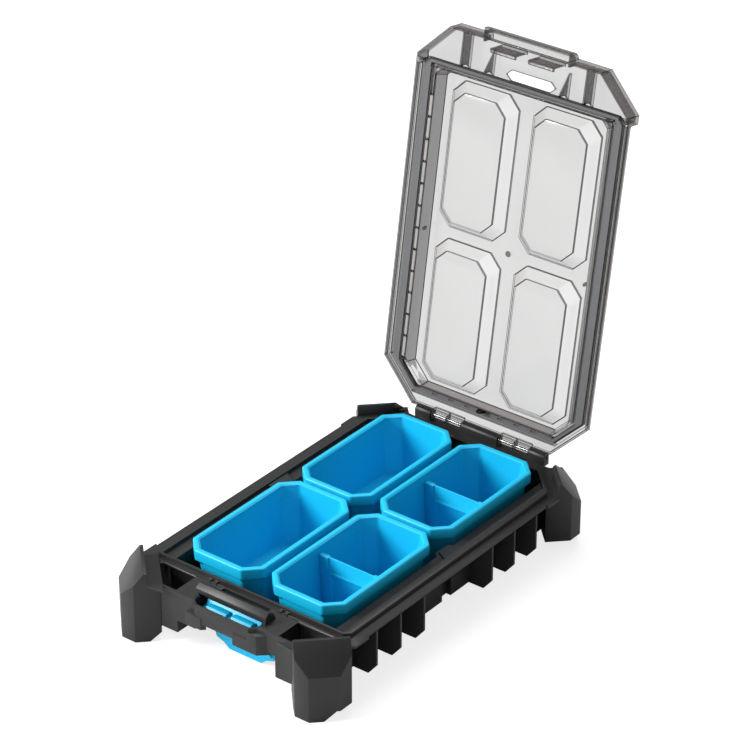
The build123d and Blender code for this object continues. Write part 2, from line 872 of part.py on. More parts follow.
def hood():
    """Raised front of the lid, over the catch bar, and the hollow under it."""
    block = slab(lid_outline(0) & before(hood_back_y), lid_border_foot_z, panel_z + sheet)
    low = offset(channel_outline(channel_gap), amount=sheet, kind=Kind.INTERSECTION)
    high = offset(channel_outline(channel_gap), amount=-hood_wall_lean, kind=Kind.INTERSECTION)
    seal = loft([Pos(0, 0, lid_strip_z - weld) * low, Pos(0, 0, panel_z) * high])
    inside = before(hood_back_y - lid_border_width)
    room = slab(lid_outline(lid_border_width) & inside, 0, panel_z) - seal
    room -= box(-vast, vast, lip_front_y, 0, 0, lid_strip_z - weld)
    near, far = (lip_front_y + step for step in valley_steps)
    half = dome_half_x - valley_inset
    valley = box(-half, half, near, far, channel_roof_z + sheet, vast)
    return block, room + valley


def clip_profile(inset):
    """Side view of the rolled front clip, moved in by a thickness."""
    front = clip_y + inset
    top = panel_z + sheet - inset
    radius = clip_round - inset
    foot = clip_foot_z - (weld if inset else 0)
    back = lid_front_y + lid_border_width + clip_overlap
    middle = radius * (1 - cos(radians(45)))
    start = Polyline((0, back, foot), (0, back, top), (0, front + radius, top))
    arc = ThreePointArc(
        (0, front + radius, top), (0, front + middle, top - middle), (0, front, top - radius))
    drop = Polyline((0, front, top - radius), (0, front, foot), (0, back, foot))
    return make_face(start + arc + drop)


def clip():
    """Rolled clip in the middle of the lid's front, and the hollow behind it."""
    wide = 2 * clip_half_x
    skin = Pos(-clip_half_x, 0, 0) * extrude(clip_profile(0), amount=wide, dir=(1, 0, 0))
    room = extrude(clip_profile(sheet), amount=wide - 2 * sheet, dir=(1, 0, 0))
    return skin, Pos(-clip_half_x + sheet, 0, 0) * room


def hooks():
    """Two hooks that snap under the catch bar."""
    low, middle, high = (hook_foot_z + rise for rise in hook_rise)
    root_z = panel_z + sheet / 2
    barb = [
        (hook_y - hook_thick, root_z),
        (hook_y, root_z),
        (hook_y, high),
        (hook_y + hook_barb, middle),
        (hook_y + hook_barb, low),
        (hook_y, hook_foot_z),
        (hook_y - hook_thick, hook_foot_z),
    ]
    return both_sides(side_profile(barb, *hook_xs))


def flex_slot():
    """Long six-sided slot through the hood, behind the hooks."""
    front, middle, back = (lip_front_y + step for step in slot_steps)
    points = [
        (-slot_tip_x, middle),
        (-slot_side_x, front),
        (slot_side_x, front),
        (slot_tip_x, middle),
        (slot_side_x, back),
        (-slot_side_x, back),
    ]
    return slab(polygon(points), panel_z - slot_room, panel_z + sheet + slot_room)


def front_stiffeners():
    """Upright plates under the hood: two long ones and two three-sided ones."""
    half = sheet / 2
    root = channel_front_y() + weld
    low = lid_border_foot_z + stiffener_lift
    top = panel_z + sheet / 2
    lean = [(root, low), (root, channel_roof_z + sheet), (root + stiffener_lean, top)]
    front = lid_front_y + weld
    plate = side_profile(lean + [(front, top), (front, low)], stiffener_x - half, stiffener_x + half)
    corner = [(gusset_y, top), (gusset_y, panel_z - gusset_edge)]
    gusset = side_profile(lean + corner, gusset_x, gusset_x + sheet)
    return both_sides(plate + gusset)


def channel_front_y():
    """Front face of the gasket channel's wall."""
    return lip_front_y - channel_gap - sheet


def lid_barrels():
    """Clear hinge barrels on the lid, two on each side, with their webs."""
    web = [
        (lid_back_y - lid_border_width, lid_strip_z + barrel_web_lift),
        (lid_back_y - lid_border_width, hinge_z + barrel_radius),
        (hinge_y, hinge_z + barrel_radius),
        (hinge_y, hinge_z - barrel_radius),
        (hinge_y - barrel_radius + weld, lid_strip_z + barrel_web_lift),
    ]
    spans = [
        (knuckle_centre_x + barrel_gap, barrel_split_x - barrel_gap / 2),
        (barrel_split_x + barrel_gap / 2, knuckle_end_x[0] - barrel_gap),
    ]
    barrels = Part()
    for x0, x1 in spans:
        barrels += side_profile(web, x0, x1) + rod(barrel_radius, x0, x1, hinge_y, hinge_z)
    reach = knuckle_end_x[1]
    return both_sides(barrels) - rod(pin_radius + pin_clearance, -reach, reach, hinge_y, hinge_z)


def ticks():
    """Small ridges along the left inner strip, one inch apart."""
    x = -(lip_half_x - lip_width_side - channel_gap - sheet)
    first = grid_y - tick_pitch * (tick_count - 1) / 2
    near, far = tick_x
    half = tick_half_width
    low, high = lid_strip_z - tick_depth, lid_strip_z + tick_depth
    marks = Part()
    for n in range(tick_count):
        y = first + n * tick_pitch
        marks += box(x + near, x + far, y - half, y + half, low, high)
    return marks


def make_lid_closed():
    """The lid as it lies on the closed case."""
    block, room = hood()
    skin, clip_room = clip()
    shell = lid_shell() + block - room
    shell -= slab(channel_outline(channel_gap) - channel_outline(-channel_gap), 0, channel_roof_z)
    shell -= dome(0, lid_strip_z - weld, panel_z, panel_z)
    shell += skin
    shell -= clip_room
    shell -= flex_slot()
    shell += hooks() + front_stiffeners()
    for _, x, y in bin_places():
        shell += Pos(x, y, 0) * boss(0, panel_z - boss_depth, panel_z + sheet / 2)
        inner_foot = panel_z - boss_depth + sheet
        shell -= Pos(x, y, 0) * boss(boss_hollow_inset, inner_foot, panel_z + sheet + weld)
    shell += lid_barrels()
    shell += ticks()
    return shell


def make_gasket_closed():
    """Sealing strip in the lid's channel, above the lip of the case."""
    gap = channel_gap - gasket_side_gap
    foot = lip_z + gasket_gap
    strip_foot = foot + gasket_bead_height
    strip = slab(channel_outline(gap), strip_foot, channel_roof_z)
    strip -= slab(channel_outline(-gap), 0, vast)
    bead = slab(channel_outline(gap - gasket_bead_inset), foot, strip_foot + gasket_overlap)
    bead -= slab(channel_outline(gasket_bead_inset - gap), 0, vast)
    return strip + bead


def opened(shape):
    """A lid piece turned from closed to the open rest pose."""
    axis = Axis((0, hinge_y, hinge_z), (1, 0, 0))
    return shape.rotate(axis, -open_angle)


def make_hinge_pin():
    """Right-hand steel pin, from the middle knuckle to the end one."""
    start = knuckle_centre_x - pin_inner_length
    return rod(pin_radius, start, knuckle_end_x[1] - pin_end_inset, hinge_y, hinge_z)


def lever_pads():
    """Both pads under the slot, where the lever is pressed."""
    front = bulge_y + wall + lever_pad_gap
    near, low, middle, back = (front + step for step in lever_pad_steps)
    _, shoulder, nose, chin, foot = (lever_pad_top_z - fall for fall in lever_pad_fall)
    profile = [
        (front, nose),
        (near, lever_pad_top_z),
        (middle, lever_pad_top_z),
        (back, shoulder),
        (low, foot),
        (front, chin),
    ]
    return both_sides(side_profile(profile, *lever_pad_xs))


def lever_web():
    """Bent plate from the pads past the pivot to the tongue."""
    pad_y = bulge_y + wall + lever_pad_gap
    pad_z = lever_pad_top_z - lever_pad_fall[0]
    roof_z = shelf_z - wall - fit
    inner, edge, neck, throat, back = (lever_pivot_y + step for step in lever_neck)
    low, high = (lever_pivot_z + step for step in lever_neck_rise)
    tongue_front = lever_pivot_y + lever_tongue_y
    tongue_back = tongue_front + lever_thick
    root_z, top_z = lever_tongue_z[2], lever_tongue_z[4]
    profile = [
        (pad_y + lever_pad_steps[0], pad_z),
        (pad_y + lever_pad_steps[2], pad_z),
        (neck, roof_z),
        (throat, roof_z),
        (back, lever_pivot_z),
        (tongue_back, top_z),
        (tongue_back, root_z),
        (tongue_front, root_z),
        (edge, low),
        (inner, high),
    ]
    half = lever_half_x - lever_web_inset
    return side_profile(profile, -half, half)


def lever_tongue():
    """Plate that hangs below the front, to be pulled forward by hand."""
    low, shoulder, _, top, _ = lever_tongue_z
    small, large = lever_tongue_cut
    outer = lever_half_x
    side = [
        (outer, top),
        (outer - small, shoulder),
        (outer - large, low),
        (lever_tongue_half_x, lever_foot_z),
    ]
    points = [(-x, z) for x, z in side] + side[::-1]
    return plate_across(points, lever_pivot_y + lever_tongue_y + lever_thick / 2, lever_thick)


def make_stack_lever():
    """Blue rocker: two pads under the slot, a pivot sleeve and a tongue below the front."""
    reach = cheek_x - fit
    sleeve = rod(lever_pin_radius + lever_sleeve_wall, -reach, reach, lever_pivot_y, lever_pivot_z)
    bore = rod(lever_pin_radius + pin_clearance, -vast, vast, lever_pivot_y, lever_pivot_z)
    return lever_pads() + lever_web() + sleeve + lever_tongue() - bore


def make_lever_pin():
    """Steel rod through both cheeks and the lever."""
    reach = cheek_x + cheek_thick + lever_pin_end
    return rod(lever_pin_radius, -reach, reach, lever_pivot_y, lever_pivot_z)


def main():
    os.makedirs("parts", exist_ok=True)
    write(make_base_tray(), "base_tray")
    write(opened(make_lid_closed()), "lid")
    write(opened(make_gasket_closed()), "lid_gasket")
    pin = make_hinge_pin()
    write(pin, "hinge_pin_right")
    write(mirror(pin, about=Plane.YZ), "hinge_pin_left")
    tub = make_bin()
    for name, x, y in bin_places():
        write(Pos(x, y, 0) * tub, f"bin_{name}")
    cross = make_divider()
    for name, x, y in bin_places():
        if x > 0:
            end = name.split("_")[0]
            write(Pos(x, y, 0) * cross, f"divider_{end}")
    write(make_stack_lever(), "stack_lever")
    write(make_lever_pin(), "lever_pin")


if __name__ == "__main__":
    main()
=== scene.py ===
"""Looks of a lidded compartment organizer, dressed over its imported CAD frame."""

import json
import logging
import math
from dataclasses import dataclass, field
from enum import Enum, IntEnum
from typing import Callable, Iterable

import bpy
from mathutils import Matrix, Vector


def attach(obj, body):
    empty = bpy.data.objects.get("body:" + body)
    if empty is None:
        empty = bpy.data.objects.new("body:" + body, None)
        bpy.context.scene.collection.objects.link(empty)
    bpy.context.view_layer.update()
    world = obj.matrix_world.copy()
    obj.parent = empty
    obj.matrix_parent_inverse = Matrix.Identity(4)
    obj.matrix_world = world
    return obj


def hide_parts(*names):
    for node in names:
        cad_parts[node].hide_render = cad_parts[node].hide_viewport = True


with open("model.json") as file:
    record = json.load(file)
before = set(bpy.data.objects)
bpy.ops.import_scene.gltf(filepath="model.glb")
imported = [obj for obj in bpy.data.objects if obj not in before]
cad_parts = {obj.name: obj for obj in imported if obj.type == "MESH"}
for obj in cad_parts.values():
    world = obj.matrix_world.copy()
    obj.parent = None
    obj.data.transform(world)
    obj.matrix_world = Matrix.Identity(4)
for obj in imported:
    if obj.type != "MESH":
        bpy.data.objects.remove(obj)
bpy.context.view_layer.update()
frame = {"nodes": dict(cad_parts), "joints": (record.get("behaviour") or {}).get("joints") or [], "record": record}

MM = 0.001
MIDDLE = 0.5  # average of a noise pattern
FACING = 0.9  # least share of a direction in the normal of a face that looks that way
log = logging.getLogger("organizer")


class Slot(str, Enum):
    """Material slots of the record."""

    CASE = "case_black"
    LID = "lid_clear"
    SEAL = "gasket"
    STEEL = "steel"
    BIN = "bin_blue"


class LidFace(IntEnum):
    """Places of the lid's materials, by kind of face."""

    SHEET = 0
    WALL = 1
    EDGE = 2
    BLOCK_WALL = 3


class Value:
    """A shader socket that takes part in Python expressions."""

    def __init__(self, sheet: "NodeSheet", socket: bpy.types.NodeSocket) -> None:
        """Wraps one output socket of a node sheet."""
        self.sheet = sheet
        self.socket = socket

    def _math(self, operation: str, first: object, second: object) -> "Value":
        """Adds one Math node.

        Args:
            operation: The Math node's operation.
            first: Value or number on the left.
            second: Value or number on the right.

        Returns:
            The result as a value.
        """
        made = self.sheet.node("ShaderNodeMath", {"operation": operation}, {0: first, 1: second})
        return Value(self.sheet, made.outputs[0])

    def __add__(self, other: object) -> "Value":
        """Sum of two values."""
        return self._math("ADD", self, other)

    def __radd__(self, other: object) -> "Value":
        """Sum with a number on the left."""
        return self._math("ADD", other, self)

    def __sub__(self, other: object) -> "Value":
        """Difference of two values."""
        return self._math("SUBTRACT", self, other)

    def __rsub__(self, other: object) -> "Value":
        """Difference from a number on the left."""
        return self._math("SUBTRACT", other, self)

    def __mul__(self, other: object) -> "Value":
        """Product of two values."""
        return self._math("MULTIPLY", self, other)

    def __rmul__(self, other: object) -> "Value":
        """Product with a number on the left."""
        return self._math("MULTIPLY", other, self)


class NodeSheet:
    """Node tree of one material or world."""

    def __init__(self, owner: bpy.types.ID) -> None:
        """Turns nodes on and empties the tree of a material or world.

        Args:
            owner: The material or world.
        """
        owner.use_nodes = True
        self.tree = owner.node_tree
        self.tree.nodes.clear()

    def node(self, kind: str, settings: dict | None = None, inputs: dict | None = None) -> bpy.types.Node:
        """Adds one node.

        Args:
            kind: The node's type.
            settings: Properties, set before the inputs.
            inputs: Values, links or plain numbers by socket name or number.

        Returns:
            The new node.
        """
        made = self.tree.nodes.new(kind)
        for name, setting in (settings or {}).items():
            setattr(made, name, setting)
        for name, given in (inputs or {}).items():
            socket = given.socket if isinstance(given, Value) else given
            if isinstance(socket, bpy.types.NodeSocket):
                self.tree.links.new(socket, made.inputs[name])
            else:
                made.inputs[name].default_value = socket
        return made

    def value(self, made: bpy.types.Node, output: str | int = 0) -> Value:
        """One output of a node as a value."""
        return Value(self, made.outputs[output])

    def place(self, scale: tuple[float, float, float] = (1.0, 1.0, 1.0)) -> bpy.types.NodeSocket:
        """Object coordinates, stretched by a scale.

        Args:
            scale: Scale along each axis.

        Returns:
            The mapped coordinates.
        """
        where = self.node("ShaderNodeTexCoord")
        mapped = self.node("ShaderNodeMapping", None, {"Vector": where.outputs["Object"], "Scale": scale})
        return mapped.outputs[0]

    def noise(self, scale: float, detail: float = 3.0, stretch: tuple = (1.0, 1.0, 1.0)) -> Value:
        """Cloudy pattern on the object.

        Args:
            scale: Fineness of the pattern.
            detail: Layers of finer pattern.
            stretch: Scale along each axis.

        Returns:
            The pattern, about 0.5 on average.
        """
        inputs = {"Vector": self.place(stretch), "Scale": scale, "Detail": detail}
        return self.value(self.node("ShaderNodeTexNoise", None, inputs), "Fac")

    def blend(self, factor: object, first: object, second: object) -> bpy.types.NodeSocket:
        """Mixes two colours.

        Args:
            factor: Share of the second colour.
            first: First colour.
            second: Second colour.

        Returns:
            The mixed colour.
        """
        inputs = {0: factor, 6: first, 7: second}
        return self.node("ShaderNodeMix", {"data_type": "RGBA"}, inputs).outputs[2]

    def bump(self, height: Value, depth: float, strength: float = 1.0) -> bpy.types.NodeSocket:
        """Relief of a pattern.

        Args:
            height: The pattern.
            depth: Height of the relief in metres.
            strength: Share of the relief that shows.

        Returns:
            The bent normal.
        """
        inputs = {"Height": height, "Distance": depth, "Strength": strength}
        return self.node("ShaderNodeBump", None, inputs).outputs[0]


def opaque(colour: Iterable[float]) -> tuple[float, float, float, float]:
    """A colour with full opacity."""
    red, green, blue = colour
    return (red, green, blue, 1.0)


def grey(level: float) -> tuple[float, float, float, float]:
    """An opaque grey."""
    return opaque((level, level, level))


@dataclass(frozen=True)
class Finish:
    """A surface finish. Each kind fills in its own shader."""

    name: str
    slot: Slot
    colour: tuple[float, float, float]

    def shader(self, sheet: NodeSheet) -> bpy.types.Node:
        """Shader of this finish."""
        raise NotImplementedError

    def make(self) -> bpy.types.Material:
        """Builds the material.

        Returns:
            The finished material.
        """
        material = bpy.data.materials.new(self.name)
        sheet = NodeSheet(material)
        surface = self.shader(sheet)
        sheet.node("ShaderNodeOutputMaterial", None, {"Surface": surface.outputs[0]})
        return material


@dataclass(frozen=True)
class MouldedPlastic(Finish):
    """Opaque moulded plastic with a fine eroded grain and a soft sheen."""

    gloss: float = 0.42
    unevenness: float = 0.12
    grain: float = 2600.0
    grain_depth: float = 0.00004
    grain_strength: float = 0.35
    grain_gloss: float = 0.06
    cloud: float = 14.0
    shade: float = 0.14
    shine: float = 0.5

    def shader(self, sheet: NodeSheet) -> bpy.types.Node:
        """Grainy satin shader.

        Args:
            sheet: The material's node sheet.

        Returns:
            The principled shader.
        """
        clouds = sheet.noise(self.cloud, detail=4.0)
        fine = sheet.noise(self.grain, detail=2.0)
        dark = opaque(part * (1.0 - self.shade) for part in self.colour)
        light = opaque(min(part * (1.0 + self.shade), 1.0) for part in self.colour)
        uneven = (clouds - MIDDLE) * self.unevenness + (fine - MIDDLE) * self.grain_gloss
        return sheet.node("ShaderNodeBsdfPrincipled", None, {
            "Base Color": sheet.blend(clouds, dark, light),
            "Roughness": self.gloss + uneven,
            "Normal": sheet.bump(fine, self.grain_depth, self.grain_strength),
            "Specular IOR Level": self.shine,
        })


@dataclass(frozen=True)
class SmokedClear(Finish):
    """Clear smoked plastic: thin to look through square on, darker at its edges."""

    body: float = 0.2
    edge: float = 0.75
    rough: float = 0.08
    rough_spread: float = 0.06
    cloud: float = 6.0
    paler: float = 1.15
    falloff: float = 0.35
    bend: float = 1.5

    def shader(self, sheet: NodeSheet) -> bpy.types.Node:
        """See-through shader, more solid where it is seen edge on.

        Args:
            sheet: The material's node sheet.

        Returns:
            The principled shader.
        """
        facing = sheet.value(sheet.node("ShaderNodeLayerWeight", None, {"Blend": self.falloff}), "Facing")
        clouds = sheet.noise(self.cloud, detail=2.0)
        pale = opaque(min(part * self.paler, 1.0) for part in self.colour)
        return sheet.node("ShaderNodeBsdfPrincipled", None, {
            "Base Color": sheet.blend(clouds, opaque(self.colour), pale),
            "Roughness": self.rough + clouds * self.rough_spread,
            "Alpha": self.body + facing * (self.edge - self.body),
            "IOR": self.bend,
        })


@dataclass(frozen=True)
class SealRubber(Finish):
    """Soft matt rubber."""

    cloud: float = 60.0
    paler: float = 1.3
    rough: float = 0.7
    rough_spread: float = 0.15

    def shader(self, sheet: NodeSheet) -> bpy.types.Node:
        """Matt shader with a faint bloom.

        Args:
            sheet: The material's node sheet.

        Returns:
            The principled shader.
        """
        clouds = sheet.noise(self.cloud)
        pale = opaque(part * self.paler for part in self.colour)
        return sheet.node("ShaderNodeBsdfPrincipled", None, {
            "Base Color": sheet.blend(clouds, opaque(self.colour), pale),
            "Roughness": self.rough + clouds * self.rough_spread,
        })


@dataclass(frozen=True)
class DrawnSteel(Finish):
    """Bright steel rod with drawing marks along X."""

    streak: float = 700.0
    streak_length: float = 0.03
    streak_depth: float = 0.00002
    streak_strength: float = 0.4
    duller: float = 0.8
    rough: float = 0.2
    rough_spread: float = 0.16

    def shader(self, sheet: NodeSheet) -> bpy.types.Node:
        """Metal shader with lengthwise streaks.

        Args:
            sheet: The material's node sheet.

        Returns:
            The principled shader.
        """
        streaks = sheet.noise(self.streak, detail=2.0, stretch=(self.streak_length, 1.0, 1.0))
        dull = opaque(part * self.duller for part in self.colour)
        return sheet.node("ShaderNodeBsdfPrincipled", None, {
            "Base Color": sheet.blend(streaks, dull, opaque(self.colour)),
            "Roughness": self.rough + streaks * self.rough_spread,
            "Metallic": 1.0,
            "Normal": sheet.bump(streaks, self.streak_depth, self.streak_strength),
        })


CASE_PLASTIC = MouldedPlastic("case_charcoal_plastic", Slot.CASE, (0.021, 0.0208, 0.0204), shine=0.3)
BIN_PLASTIC = MouldedPlastic(
    "bin_sky_plastic", Slot.BIN, (0.008, 0.46, 0.74), gloss=0.36, grain=1800.0, shade=0.04, shine=0.35)
LID_SHEET = SmokedClear("lid_smoked_sheet", Slot.LID, (0.05, 0.045, 0.042), 0.25, 0.46)
# Painted shade: the lid's walls get a darker, more solid copy of the smoke-tinted plastic.
LID_WALL_SHADE = SmokedClear("lid_wall_painted_shade", Slot.LID, (0.06, 0.044, 0.04), 0.5, 0.8, bend=1.25)
# Painted light: the walls among the blocks get a paler, clearer copy of the same plastic.
LID_BLOCK_LIGHT = SmokedClear("lid_block_wall_painted_light", Slot.LID, (0.09, 0.078, 0.073), 0.2, 0.55, bend=1.3)
LID_MARK = SmokedClear("lid_frosted_mark", Slot.LID, (0.42, 0.4, 0.39), 0.5, 0.7, rough=0.4, bend=1.3)
# Painted shade: the lid's rounded edges get a near black, nearly solid copy of the same plastic.
LID_EDGE_SHADE = SmokedClear("lid_edge_painted_shade", Slot.LID, (0.006, 0.0055, 0.005), 0.85, 0.95, rough=0.3, bend=1.12)
SEAL = SealRubber("seal_grey_rubber", Slot.SEAL, (0.09, 0.09, 0.092))
STEEL = DrawnSteel("hinge_drawn_steel", Slot.STEEL, (0.72, 0.72, 0.73))


class Bench:
    """Modelling steps shared by the sub-assemblies. All lengths are in metres."""

    @staticmethod
    def deselect() -> None:
        """Leaves edit mode and deselects every object."""
        if bpy.context.object and bpy.context.object.mode != "OBJECT":
            bpy.ops.object.mode_set(mode="OBJECT")
        bpy.ops.object.select_all(action="DESELECT")

    @staticmethod
    def only(piece: bpy.types.Object) -> None:
        """Makes a piece the only selected and active object.

        Args:
            piece: The piece to select.
        """
        Bench.deselect()
        piece.select_set(True)
        bpy.context.view_layer.objects.active = piece

    @staticmethod
    def settle(piece: bpy.types.Object) -> None:
        """Moves a piece's place, turn and scale into its mesh."""
        Bench.only(piece)
        bpy.ops.object.transform_apply(location=True, rotation=True, scale=True)

    @staticmethod
    def block(name: str, low: Iterable[float], high: Iterable[float]) -> bpy.types.Object:
        """Starts a piece as a block between two corners.

        Args:
            name: Name of the piece.
            low: Lowest corner.
            high: Highest corner.

        Returns:
            The block, at the origin with its place in its mesh.
        """
        low, high = Vector(low), Vector(high)
        Bench.deselect()
        bpy.ops.mesh.primitive_cube_add(size=1.0, location=(low + high) / 2, scale=high - low)
        piece = bpy.context.object
        piece.name = name
        Bench.settle(piece)
        return piece

    @staticmethod
    def stud(name: str, radius: float, foot: Vector, height: float, sides: int) -> bpy.types.Object:
        """Starts a piece as a round upright stud.

        Args:
            name: Name of the piece.
            radius: Its radius.
            foot: Middle of its lower face.
            height: Its height.
            sides: Number of flat sides.

        Returns:
            The stud, at the origin with its place in its mesh.
        """
        Bench.deselect()
        bpy.ops.mesh.primitive_cylinder_add(
            vertices=sides, radius=radius, depth=height, location=foot + Vector((0.0, 0.0, height / 2)))
        piece = bpy.context.object
        piece.name = name
        Bench.settle(piece)
        return piece

    @staticmethod
    def choose_faces(piece: bpy.types.Object, test: Callable[[bpy.types.MeshPolygon], bool]) -> None:
        """Enters edit mode with only the faces that pass a test selected.

        Args:
            piece: The piece whose faces are chosen.
            test: Says of a face whether it is selected.
        """
        Bench.only(piece)
        mesh = piece.data
        for part in (mesh.vertices, mesh.edges):
            part.foreach_set("select", [False] * len(part))
        mesh.polygons.foreach_set("select", [test(face) for face in mesh.polygons])
        bpy.context.tool_settings.mesh_select_mode = (False, False, True)
        bpy.ops.object.mode_set(mode="EDIT")

    @staticmethod
    def leave() -> None:
        """Leaves edit mode."""
        bpy.ops.object.mode_set(mode="OBJECT")

    @staticmethod
    def round_edges(
        piece: bpy.types.Object, width: float, segments: int = 2, angle: float = 35.0, slot: int = -1
    ) -> None:
        """Rounds the sharp edges of a piece.

        Args:
            piece: The piece.
            width: Width of the rounding.
            segments: Steps in the rounding.
            angle: Least angle of an edge that is rounded, in degrees.
            slot: Material slot of the new faces, or -1 for that of their neighbours.
        """
        Bench.only(piece)
        bevel = piece.modifiers.new("edge_round", "BEVEL")
        bevel.width = width
        bevel.segments = segments
        bevel.limit_method = "ANGLE"
        bevel.angle_limit = math.radians(angle)
        bevel.use_clamp_overlap = False
        bevel.material = slot
        bpy.ops.object.modifier_apply(modifier=bevel.name)
        bpy.ops.object.shade_smooth_by_angle(angle=math.radians(angle))

    @staticmethod
    def copy(piece: bpy.types.Object, name: str, shift: Iterable[float]) -> bpy.types.Object:
        """Copies a piece with its own mesh and moves the copy.

        Args:
            piece: The piece.
            name: Name of the copy.
            shift: How far the copy moves.

        Returns:
            The copy, at the origin with its place in its mesh.
        """
        Bench.only(piece)
        bpy.ops.object.duplicate(linked=False)
        made = bpy.context.object
        made.name = name
        bpy.ops.transform.translate(value=tuple(shift))
        Bench.settle(made)
        return made

    @staticmethod
    def row(piece: bpy.types.Object, name: str, count: int, step: Vector) -> list[bpy.types.Object]:
        """Repeats a piece in a straight row.

        Args:
            piece: The first piece.
            name: Name of the pieces, without the number.
            count: Number of pieces in the row.
            step: Step from one piece to the next.

        Returns:
            The whole row, the first piece included.
        """
        return [piece] + [
            Bench.copy(piece, f"{name}_{number + 1}", step * number) for number in range(1, count)]


def looks_down(face: bpy.types.MeshPolygon) -> bool:
    """Whether a face looks down."""
    return face.normal.z < -FACING


def looks_along_y(face: bpy.types.MeshPolygon) -> bool:
    """Whether a face looks to the front or the back."""
    return abs(face.normal.y) > FACING


def body_of_node(node: str) -> str:
    """Name of the body that carries a CAD node."""
    bodies = frame["record"]["behaviour"]["bodies"]
    return next(body for body, nodes in bodies.items() if node in nodes)


@dataclass
class SubAssembly:
    """A group of pieces with one finish to start from."""

    material: bpy.types.Material
    finish: Finish
    merge: float = 0.002 * MM
    made: list[bpy.types.Object] = field(default_factory=list, init=False)

    def dress(self, piece: bpy.types.Object, body: str) -> bpy.types.Object:
        """Gives a piece the finish and lets it ride on a body.

        Args:
            piece: The finished piece.
            body: Name of the body.

        Returns:
            The same piece.
        """
        piece.data.materials.clear()
        piece.data.materials.append(self.material)
        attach(piece, body)
        self.made.append(piece)
        log.info("piece %s rides on %s", piece.name, body)
        return piece

    def stand_in(self, node: str) -> bpy.types.Object:
        """Copies a CAD node, to be shaped further and shown in its place.

        Args:
            node: Name of the node.

        Returns:
            The copy, merged and with no materials.
        """
        source = frame["nodes"][node]
        piece = source.copy()
        piece.data = source.data.copy()
        bpy.context.scene.collection.objects.link(piece)
        piece.parent = None
        piece.name = f"{node}_moulding"
        piece.data.materials.clear()
        Bench.choose_faces(piece, lambda face: True)
        bpy.ops.mesh.remove_doubles(threshold=self.merge)
        bpy.ops.mesh.customdata_custom_splitnormals_clear()
        Bench.leave()
        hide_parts(node)
        return piece

    def soften(self, node: str, width: float, segments: int = 2) -> bpy.types.Object:
        """Stands a round-edged copy in for a CAD node.

        Args:
            node: Name of the node.
            width: Width of the edge rounding.
            segments: Steps in the rounding.

        Returns:
            The copy.
        """
        piece = self.stand_in(node)
        Bench.round_edges(piece, width, segments)
        return self.dress(piece, body_of_node(node))

    def paint(self, node: str) -> None:
        """Gives a CAD node the finish, with its shape as it is.

        Args:
            node: The node's name.
        """
        shown = frame["nodes"][node]
        for place in shown.material_slots:
            place.material = self.material
        log.info("node %s painted", node)


@dataclass
class Case(SubAssembly):
    """The black case."""

    edge: float = 0.5 * MM

    def build(self) -> None:
        """Rounds the case's edges."""
        self.soften("base_tray", self.edge)


